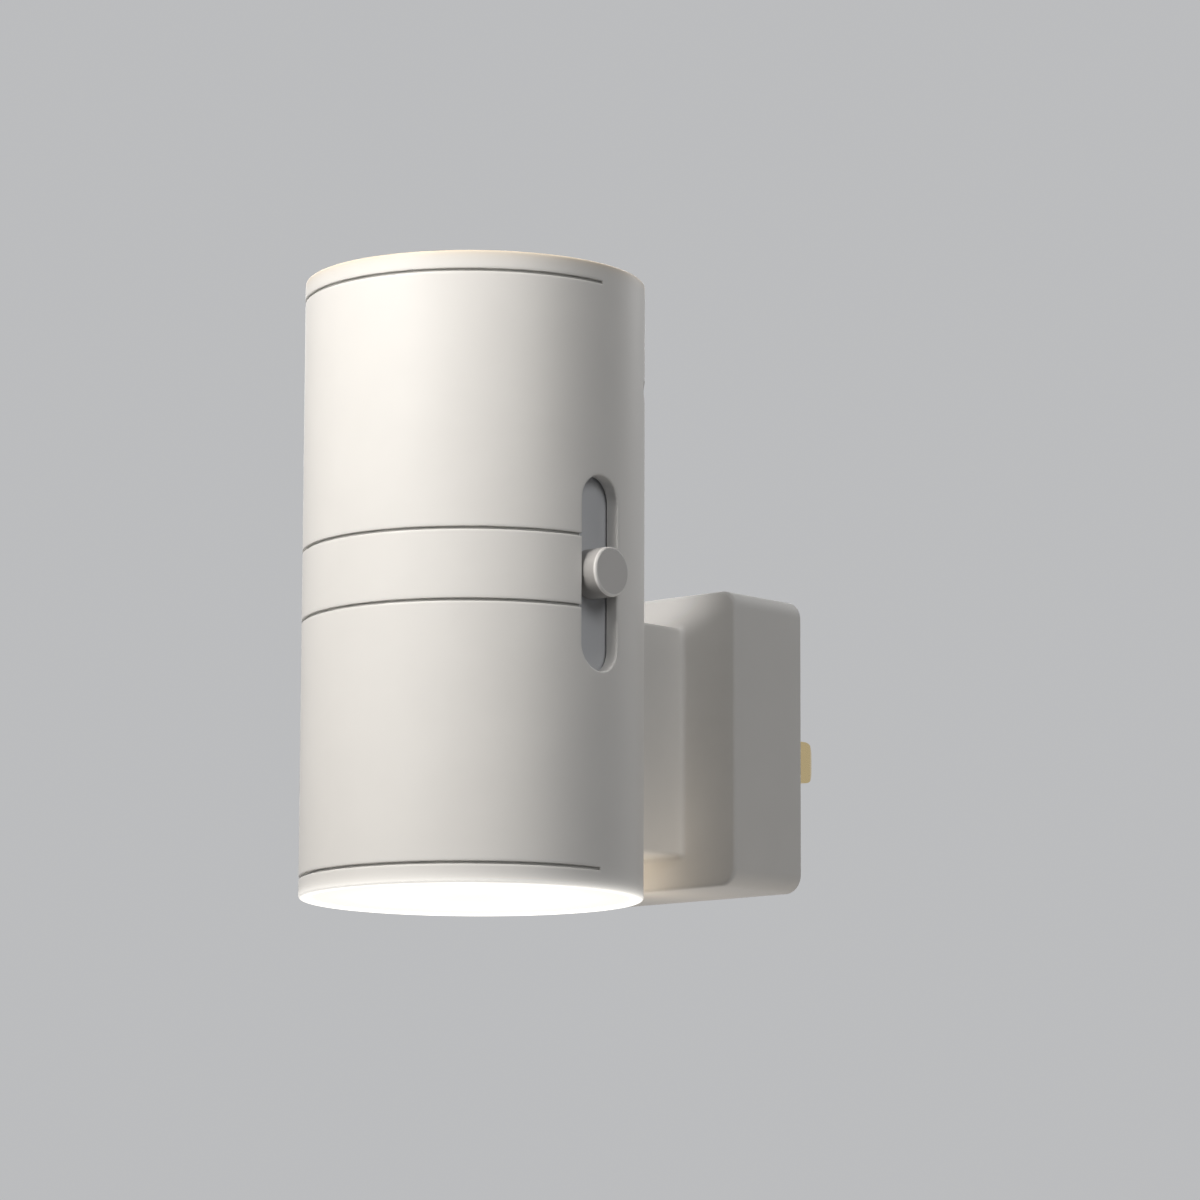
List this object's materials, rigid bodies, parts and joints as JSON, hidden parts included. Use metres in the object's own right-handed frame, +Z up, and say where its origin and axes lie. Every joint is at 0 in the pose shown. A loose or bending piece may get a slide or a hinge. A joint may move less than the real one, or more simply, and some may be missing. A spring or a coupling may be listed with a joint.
{
  "type": "plug in night light",
  "caption": "Plug-in wall night light: a round white tube lit at top and bottom, on a short neck and a flat plug base with blades, with a sliding brightness knob in its side.",
  "frame": {"origin": "centre of the plug base's back face, the face that lies against the wall outlet", "axes": "+Y out of the back face and into the wall, +Z up along the tube, +X to the right of someone who faces the wall"},
  "size_m": [0.0521, 0.0949, 0.0908],
  "materials": {
    "shell_plastic": "warm white moulded plastic, fine satin",
    "plate_plastic": "warm white moulded plastic, finely sparked",
    "shutter_plastic": "white moulded plastic, satin",
    "knob_plastic": "warm white moulded plastic, satin",
    "lens_diffuser": "frosted diffuser, lit from behind",
    "reflector_plastic": "glossy white",
    "led_phosphor": "yellow phosphor under clear resin",
    "led_board_white": "white solder mask",
    "frame_plastic": "light grey moulded plastic",
    "circuit_board": "green solder mask",
    "chip_plastic": "black moulded resin",
    "dimmer_steel": "tinned sheet steel",
    "lever_plastic": "black moulded plastic",
    "smoked_plastic": "dark smoked, polished",
    "lead_insulation": "red insulation, semi-gloss",
    "blade_brass": "stamped strip, lightly polished",
    "capacitor_sleeve": "shrink sleeve, gloss",
    "ferrite": "sintered, matt",
    "resistor_ceramic": "dipped coating, matt",
    "screw_steel": "zinc plated"
  },
  "bodies": {
    "lamp": {"front_shell": "shell_plastic", "rear_shell": "shell_plastic", "upper_lens": "lens_diffuser", "lower_lens": "lens_diffuser", "upper_reflector": "reflector_plastic", "lower_reflector": "reflector_plastic", "upper_leds": "led_phosphor", "lower_leds": "led_phosphor", "upper_led_board": "led_board_white", "lower_led_board": "led_board_white", "chassis": "frame_plastic", "control_board": "circuit_board", "control_chip": "chip_plastic", "dimmer_body": "dimmer_steel", "sensor_window": "smoked_plastic", "photo_sensor": "smoked_plastic", "led_leads": "lead_insulation", "supply_leads": "lead_insulation", "base_housing": "shell_plastic", "back_plate": "plate_plastic", "neutral_blade": "blade_brass", "line_blade": "blade_brass", "driver_board": "circuit_board", "bridge_rectifier": "chip_plastic", "smoothing_capacitor": "capacitor_sleeve", "inductor": "ferrite", "fusible_resistor": "resistor_ceramic", "driver_chip": "chip_plastic", "shell_screws": "screw_steel", "neck_screws": "screw_steel", "plate_screws": "screw_steel"},
    "slider": {"slide_knob": "knob_plastic", "slot_shutter": "shutter_plastic", "dimmer_lever": "lever_plastic"}
  },
  "joints": [
    {"name": "brightness_slide", "type": "slide", "parent": "lamp", "child": "slider", "axis": [0, 0, 1], "range_m": [-0.0103, 0.0103]}
  ]
}
